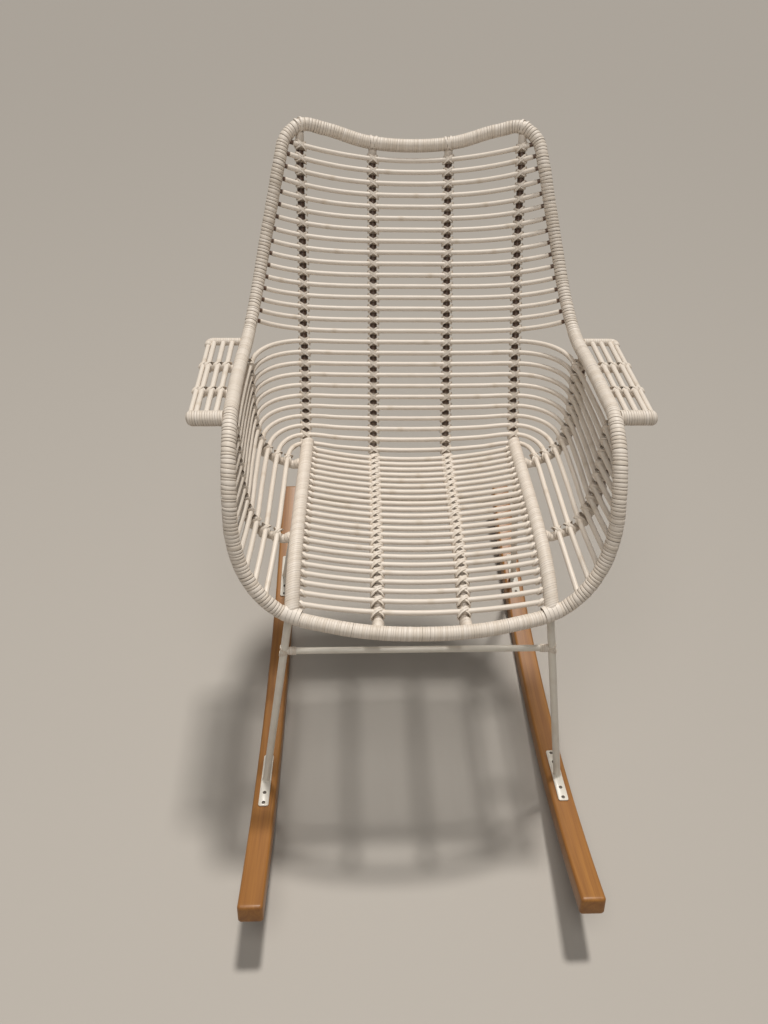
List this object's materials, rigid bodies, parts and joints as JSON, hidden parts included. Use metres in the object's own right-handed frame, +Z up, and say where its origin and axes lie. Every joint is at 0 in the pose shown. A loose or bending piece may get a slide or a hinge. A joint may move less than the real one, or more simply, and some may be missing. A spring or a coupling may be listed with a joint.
{
  "type": "wicker rocking chair",
  "caption": "Wicker rocking chair: a bucket seat of bent cane rods on ribs, with small armrests, on slim steel legs and bent wooden rockers.",
  "frame": {"origin": "middle of the chair on the floor", "axes": "+X to the right seen from the front, +Y to the back, +Z up"},
  "size_m": [0.6708, 0.9921, 0.9296],
  "materials": {
    "painted_cane": "satin paint",
    "cane_binding": "satin paint",
    "painted_steel": "satin",
    "varnished_wood": "gloss varnish"
  },
  "bodies": {
    "root": {"armrest_edge_left": "painted_cane", "armrest_edge_right": "painted_cane", "armrest_front_bar_left": "cane_binding", "armrest_front_bar_right": "cane_binding", "armrest_slats_left": "painted_cane", "armrest_slats_right": "painted_cane", "back_rib_inner_left": "painted_cane", "back_rib_inner_right": "painted_cane", "back_rib_outer_left": "painted_cane", "back_rib_outer_right": "painted_cane", "back_rod_01": "painted_cane", "back_rod_02": "painted_cane", "back_rod_03": "painted_cane", "back_rod_04": "painted_cane", "back_rod_05": "painted_cane", "back_rod_06": "painted_cane", "back_rod_07": "painted_cane", "back_rod_08": "painted_cane", "back_rod_09": "painted_cane", "back_rod_10": "painted_cane", "back_rod_11": "painted_cane", "back_rod_12": "painted_cane", "back_rod_13": "painted_cane", "back_rod_14": "painted_cane", "back_rod_15": "painted_cane", "back_rod_16": "painted_cane", "front_foot_plate_left": "painted_steel", "front_foot_plate_right": "painted_steel", "front_leg_left": "painted_steel", "front_leg_right": "painted_steel", "front_stretcher": "painted_steel", "rear_foot_plate_left": "painted_steel", "rear_foot_plate_right": "painted_steel", "rear_leg_left": "painted_steel", "rear_leg_right": "painted_steel", "rear_stretcher": "painted_steel", "rim": "cane_binding", "rocker_left": "varnished_wood", "rocker_right": "varnished_wood", "seat_deck": "painted_cane", "seat_rail_left": "cane_binding", "seat_rail_right": "cane_binding", "side_rib_front_left": "painted_cane", "side_rib_front_right": "painted_cane", "side_rib_rear_left": "painted_cane", "side_rib_rear_right": "painted_cane", "wrap_rod_17": "painted_cane", "wrap_rod_18": "painted_cane", "wrap_rod_19": "painted_cane", "wrap_rod_20": "painted_cane", "wrap_rod_21": "painted_cane", "wrap_rod_22": "painted_cane", "wrap_rod_23": "painted_cane", "wrap_rod_24": "painted_cane", "wrap_rod_25": "painted_cane", "wrap_rod_26": "painted_cane", "wrap_rod_27": "painted_cane"}
  },
  "joints": []
}
